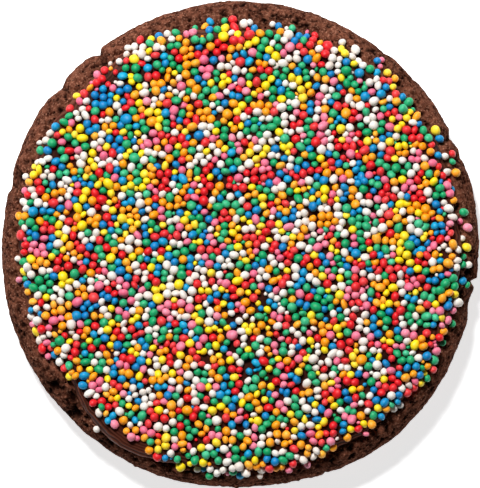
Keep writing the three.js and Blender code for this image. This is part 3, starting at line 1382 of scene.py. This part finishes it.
    def clump(self, beads: Beads, poured: int, random: np.random.Generator) -> None:
        """Gives some touching pairs one colour, and draws these and some others a little into
        one another, as grains do that stuck together while they were coated.

        Args:
            beads: the settled sprinkles, changed in place.
            poured: how many of them aren't strays.
            random: the source of the draws.
        """
        first, second = self.touching(beads.places[:poured], self.touch_reach)
        gap = beads.places[second] - beads.places[first]
        reach = beads.radii[first] + beads.radii[second]
        near = np.linalg.norm(gap, axis=1) < self.touch * reach
        draw = random.random(len(first))
        chosen = near & (draw < self.clumped)
        beads.kinds[second[chosen]] = beads.kinds[first[chosen]]
        drawn = near & (draw < self.clumped + self.twinned)
        beads.places[second[drawn]] -= self.stuck * gap[drawn]

    def place_strays(self) -> Beads:
        """Puts each stray over its pixel, sunk a little in what it lies on.

        Returns:
            The strays.
        """
        flat = from_pixels(np.array([(stray.across, stray.down) for stray in self.strays]))
        radii = np.array([0.5 * stray.size for stray in self.strays])
        height = self.rest_height(flat, radii, self.sunk)
        order = list(Sprinkle)
        kinds = np.array([order.index(stray.kind) for stray in self.strays])
        return Beads(np.column_stack([flat, height]), radii, kinds)


@dataclass
class BeadShaper:
    """Turns settled sprinkles into meshes: each is a rounded cube blown up to a bead, then
    stretched, made egg-shaped and turned at random."""

    seed: int = 19
    cuts: int = 3  # squares along each side of the cube's faces
    merge_digits: int = 6  # to which points of two faces of the cube are the same
    stretch: float = 0.12  # spread of each axis
    long_share: float = 0.17  # sprinkles that are clearly longer than wide
    long_sizes: tuple[float, float] = (1.12, 1.35)  # how much longer
    egg: float = 0.08
    lump: float = 0.04
    lump_turn: float = 2.4  # of the wave of lumps, in radians for each radius
    coat: tuple[float, float] = (0.62, 0.28)  # mean and spread of the coat's fullness

    def template(self) -> tuple[Array, Array]:
        """A round ball of squares: a cut cube, its lines spaced by a tangent, pushed out to
        radius one.

        Returns:
            The points, shape (n, 3), and the squares, shape (m, 4).
        """
        line = np.tan(np.linspace(-1, 1, self.cuts + 1) * math.pi / 4)
        across, along = np.meshgrid(line, line, indexing="ij")
        out = np.ones_like(across)
        corner = np.arange(self.cuts)
        start = (corner[:, None] * (self.cuts + 1) + corner[None, :]).ravel()
        squares = np.stack([start, start + self.cuts + 1, start + self.cuts + 2, start + 1], axis=1)
        points, faces = [], []
        for axis in range(3):
            for side in (1, -1):
                face = np.stack([side * out, across, side * along], axis=2).reshape(-1, 3)
                points.append(np.roll(face, axis, axis=1))
                faces.append(squares + len(faces) * len(face))
        near = np.round(np.concatenate(points), self.merge_digits)
        merged, where = np.unique(near, axis=0, return_inverse=True)
        ball = merged / np.linalg.norm(merged, axis=1, keepdims=True)
        return ball, where.ravel()[np.concatenate(faces)]

    def turns(self, random: np.random.Generator, count: int) -> Array:
        """Random rotations, each made from a random unit quaternion.

        Args:
            random: the source of the draws.
            count: how many.

        Returns:
            Matrices, shape (count, 3, 3).
        """
        drawn = random.normal(size=(4, count))
        w, x, y, z = drawn / np.sqrt(np.sum(drawn**2, axis=0))
        rows = [
            [1 - 2 * (y * y + z * z), 2 * (x * y - z * w), 2 * (x * z + y * w)],
            [2 * (x * y + z * w), 1 - 2 * (x * x + z * z), 2 * (y * z - x * w)],
            [2 * (x * z - y * w), 2 * (y * z + x * w), 1 - 2 * (x * x + y * y)],
        ]
        return np.moveaxis(np.array(rows), 2, 0)

    def shape(self, beads: Beads) -> tuple[Array, Array, Array]:
        """All sprinkles as points: the ball times each one's stretches, with an egg's taper and
        a slow wave for lumps, turned, then moved to its place.

        Args:
            beads: the settled sprinkles.

        Returns:
            The points, shape (sprinkles, n, 3), the ball's squares, and each coat's fullness.
        """
        random = np.random.default_rng(self.seed)
        count = len(beads.radii)
        ball, squares = self.template()
        stretches = np.exp(random.normal(0, self.stretch, (count, 3)))
        longer = random.random(count) < self.long_share
        stretches[:, 0] *= np.where(longer, random.uniform(*self.long_sizes, count), 1)
        stretches /= np.cbrt(np.prod(stretches, axis=1))[:, None]
        taper = 1 + self.egg * random.normal(size=count)[:, None] * ball[None, :, 0]
        facing = random.normal(size=(count, 3))
        wave = np.sin(self.lump_turn * ball @ facing.T).T
        points = ball[None] * stretches[:, None, :] * (taper * (1 + self.lump * wave))[..., None]
        points = np.einsum("bij,bnj->bni", self.turns(random, count), points)
        coats = np.clip(random.normal(*self.coat, count), 0, 1)
        placed = beads.places[:, None, :] + beads.radii[:, None, None] * points
        return placed, squares, coats


def build_sprinkles(beads: Beads, shaper: BeadShaper) -> list[Piece]:
    """One piece for each colour of sprinkle, dressed and riding on the cookie.

    Args:
        beads: the settled sprinkles.
        shaper: what gives them their shapes.

    Returns:
        The seven pieces.
    """
    points, squares, coats = shaper.shape(beads)
    pieces = []
    for number, kind in enumerate(Sprinkle):
        mine = np.nonzero(beads.kinds == number)[0]
        corners = points.shape[1]
        faces = squares[None] + (np.arange(len(mine)) * corners)[:, None, None]
        name = f"sprinkles_{kind.value.name}"
        piece = store_mesh(name, points[mine].reshape(-1, 3), [faces.reshape(-1, 4)])
        store_attribute(piece, "coat", np.repeat(coats[mine], corners))
        piece.data.materials.append(kind.value.material())
        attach(piece, BODY)
        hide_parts("icing", "biscuit")
        pieces.append(piece)
        LOG.info("%s: %d sprinkles", name, len(mine))
    return pieces


# ---- the studio


@dataclass(frozen=True)
class OpalSheet:
    """The opal acrylic sheet of a light table: matte white, and lit from beneath so that the
    shadows on it stay pale."""

    name: str = "opal_acrylic"
    colour: str = "#F4F4F4"
    glow: float = 0.8
    roughness: float = 0.9

    def material(self) -> Material:
        """Builds the sheet's material.

        Returns:
            The material, which glows.
        """
        colour = linear(self.colour)
        inputs = {
            "Base Color": colour,
            "Roughness": self.roughness,
            "Emission Color": colour,
            "Emission Strength": self.glow,
        }
        return finish_material(new_material(self.name), inputs)


@dataclass(frozen=True)
class Softbox:
    """A square soft light, aimed at the cookie, placed in metres."""

    name: str
    place: tuple[float, float, float]
    size: float
    power: float


@dataclass
class Studio:
    """The pale floor, the soft lights and the camera, which looks straight down."""

    floor_size: float = 3.0  # in metres
    floor_drop: float = 0.05
    camera_height: float = 2.4  # in metres
    outline_height: float = 4.0  # of the cookie's widest line, whose scale the picture keeps
    sensor: float = 36.0
    clip: tuple[float, float] = (0.01, 10.0)  # in metres
    aim: tuple[float, float] = (-0.09, -0.02)
    lights: tuple[Softbox, ...] = (
        Softbox("key", (-0.18, 0.477, 0.67), 0.18, 10.7),
        Softbox("fill", (0.1, -0.1, 1.1), 0.8, 0.08),
    )
    world: float = 0.032
    floor: OpalSheet = field(default_factory=OpalSheet)

    def build_floor(self) -> None:
        """A flat square just below the cookie."""
        half = 0.5 * self.floor_size / MM
        corners = np.array([[-half, -half], [half, -half], [half, half], [-half, half]])
        points = np.column_stack([corners, np.full(4, -self.floor_drop)])
        piece = store_mesh("floor", points, [np.array([[0, 1, 2, 3]])])
        piece.data.materials.append(self.floor.material())

    def build_lights(self) -> None:
        """The softboxes and an even pale surround."""
        for light in self.lights:
            data = bpy.data.lights.new(light.name, "AREA")
            data.size = light.size
            data.energy = light.power
            lamp = bpy.data.objects.new(light.name, data)
            lamp.location = light.place
            x, y, z = light.place
            lamp.rotation_euler = (math.atan2(math.hypot(x, y), z), 0, math.atan2(y, x) + math.pi / 2)
            bpy.context.scene.collection.objects.link(lamp)
        world = bpy.data.worlds.new("surround")
        world.use_nodes = True
        background = world.node_tree.nodes["Background"]
        background.inputs["Color"].default_value = (1, 1, 1, 1)
        background.inputs["Strength"].default_value = self.world
        bpy.context.scene.world = world

    def build_camera(self) -> None:
        """A long lens straight above, whose picture is as wide and high as the photograph."""
        data = bpy.data.cameras.new("camera")
        camera = bpy.data.objects.new("camera", data)
        camera.location = (self.aim[0] * MM, self.aim[1] * MM, self.camera_height)
        shown = max(PHOTO_WIDTH, PHOTO_HEIGHT) * MM_PER_PIXEL * MM
        data.sensor_width = self.sensor
        data.lens = self.sensor * (self.camera_height - self.outline_height * MM) / shown
        data.clip_start, data.clip_end = self.clip
        bpy.context.scene.collection.objects.link(camera)
        bpy.context.scene.camera = camera

    def build(self) -> None:
        """Sets up the whole studio, with colours shown as they are."""
        self.build_floor()
        self.build_lights()
        self.build_camera()
        bpy.context.scene.view_settings.view_transform = "Standard"


def main() -> None:
    """Builds the cookie from the biscuit up, then the studio round it."""
    logging.basicConfig(level=logging.INFO, format="%(name)s: %(message)s")
    biscuit = Biscuit()
    biscuit.dress(biscuit.build())
    LOG.info("biscuit baked")
    icing = Icing()
    icing.dress(icing.build())
    LOG.info("icing poured")

    def ground(flat: Array) -> Array:
        """Height of whatever lies uppermost at each place: icing, or bare biscuit."""
        return np.maximum(icing.height_at(flat), biscuit.height_at(flat))

    beads = SprinkleField(ground).settle()
    build_sprinkles(beads, BeadShaper())
    Studio().build()


if __name__ == "__main__":
    main()
